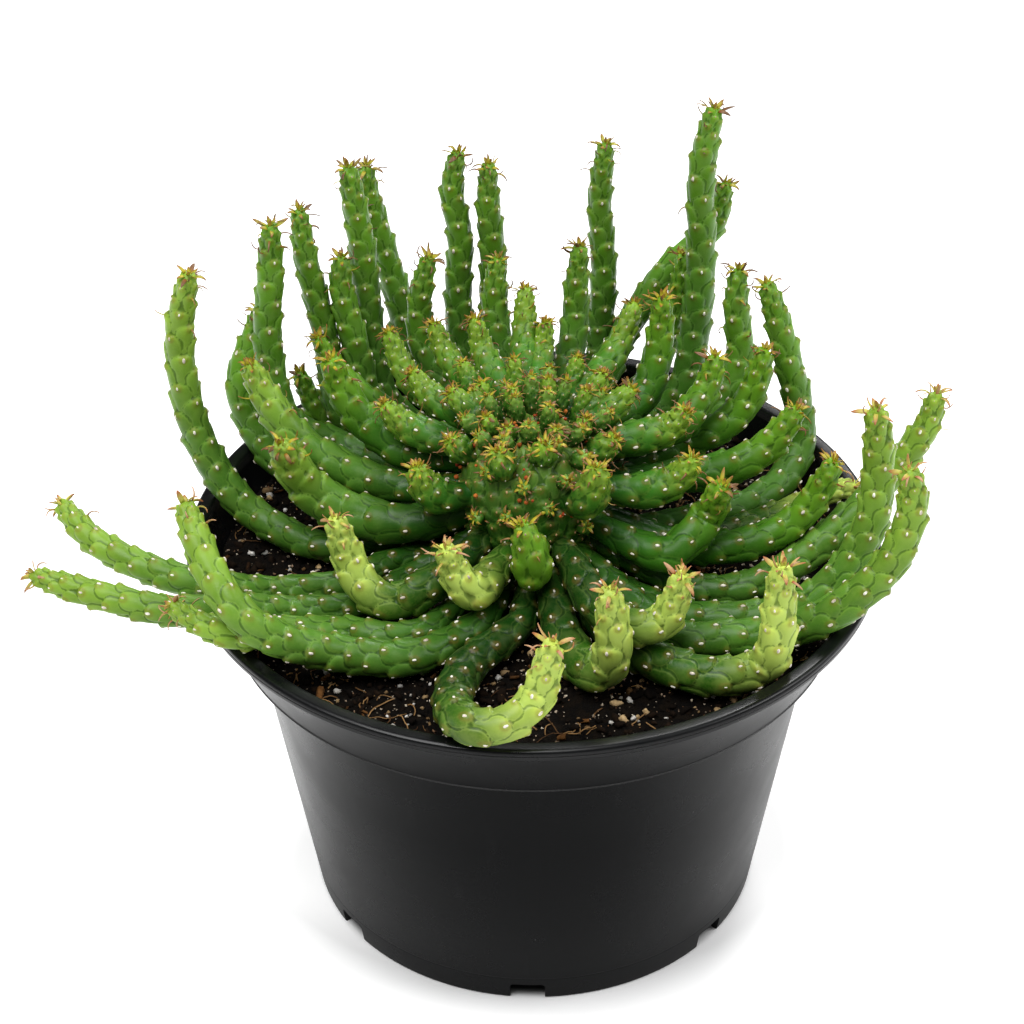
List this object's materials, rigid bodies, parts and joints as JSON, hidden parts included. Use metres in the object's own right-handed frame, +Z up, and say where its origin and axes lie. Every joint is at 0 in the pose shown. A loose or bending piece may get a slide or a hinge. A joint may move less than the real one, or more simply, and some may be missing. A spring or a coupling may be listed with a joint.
{
  "type": "potted euphorbia plant",
  "caption": "Low many-armed euphorbia with scaly green arms that spread and curl up round a crown, rooted in a filled round black nursery pot with drain notches.",
  "frame": {"origin": "middle of the pot's underside, on the surface that it stands on", "axes": "+Z up along the pot's axis, -Y towards the front of the picture, +X to its right"},
  "size_m": [0.2656, 0.2083, 0.2253],
  "materials": {
    "pot_plastic": "black moulded plastic, satin, faintly speckled",
    "potting_mix": "dark peat mix with perlite, grit and bark, dull",
    "crown_green": "grey green waxy skin with raised scales",
    "arm_green_back": "deep green waxy skin with raised scales",
    "arm_green_middle": "mid green waxy skin with raised scales",
    "arm_green_front": "light yellow green waxy skin with raised scales"
  },
  "bodies": {
    "root": {"pot": "pot_plastic", "soil": "potting_mix", "crown": "crown_green", "arm_left_1": "arm_green_middle", "arm_left_2": "arm_green_front", "arm_left_3": "arm_green_front", "arm_left_4": "arm_green_middle", "arm_left_5": "arm_green_middle", "arm_left_6": "arm_green_front", "arm_left_7": "arm_green_front", "arm_back_1": "arm_green_back", "arm_back_2": "arm_green_back", "arm_back_3": "arm_green_back", "arm_back_4": "arm_green_back", "arm_back_5": "arm_green_middle", "arm_back_6": "arm_green_middle", "arm_back_7": "arm_green_back", "arm_back_8": "arm_green_back", "arm_back_9": "arm_green_back", "arm_back_10": "arm_green_back", "arm_back_11": "arm_green_back", "arm_back_12": "arm_green_back", "arm_back_13": "arm_green_back", "arm_back_14": "arm_green_back", "arm_back_15": "arm_green_back", "arm_right_1": "arm_green_back", "arm_right_2": "arm_green_back", "arm_right_3": "arm_green_back", "arm_right_4": "arm_green_middle", "arm_right_5": "arm_green_back", "arm_right_6": "arm_green_back", "arm_right_7": "arm_green_middle", "arm_right_8": "arm_green_middle", "arm_right_9": "arm_green_middle", "arm_right_10": "arm_green_middle", "arm_right_11": "arm_green_front", "arm_right_12": "arm_green_front", "arm_right_13": "arm_green_front", "arm_right_14": "arm_green_front", "arm_right_15": "arm_green_middle", "arm_front_1": "arm_green_front", "arm_front_2": "arm_green_front", "arm_front_3": "arm_green_front", "arm_front_4": "arm_green_front", "arm_front_5": "arm_green_middle", "arm_front_6": "arm_green_front", "arm_front_7": "arm_green_front"}
  },
  "joints": []
}
